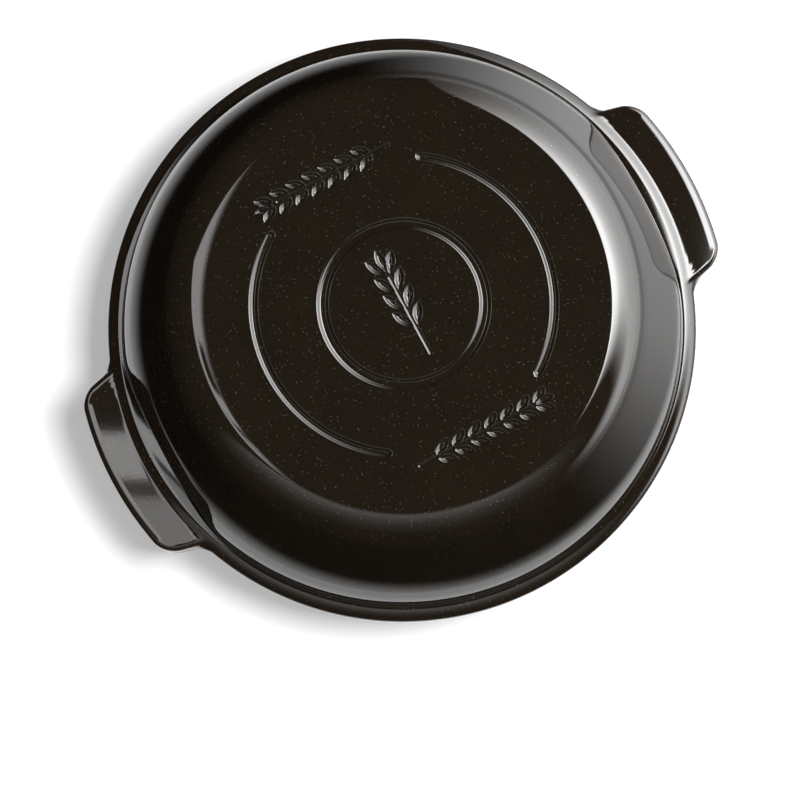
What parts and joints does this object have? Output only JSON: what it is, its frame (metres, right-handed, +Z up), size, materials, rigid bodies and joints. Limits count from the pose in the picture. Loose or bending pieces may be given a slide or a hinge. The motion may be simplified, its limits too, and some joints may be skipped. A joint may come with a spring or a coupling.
{
  "type": "bread cloche",
  "caption": "Round glazed ceramic bread cloche: a domed, flat-topped lid with side lugs lifts off a shallow dish with matching lugs.",
  "frame": {"origin": "centre of the dish's foot ring, on the surface that it stands on", "axes": "+X along the lugs, from one to the other, and +Z up, the way the lid lifts"},
  "size_m": [0.325, 0.292, 0.145],
  "materials": {
    "dark_glaze": "glossy, nearly black warm brown glaze with sparse pale specks"
  },
  "bodies": {
    "dish": {"base_dish": "dark_glaze"},
    "lid": {"cloche_lid": "dark_glaze"}
  },
  "joints": [
    {"name": "lid_lift", "type": "slide", "parent": "dish", "child": "lid", "axis": [0, 0, 1], "range_m": [0, 0.15]}
  ]
}
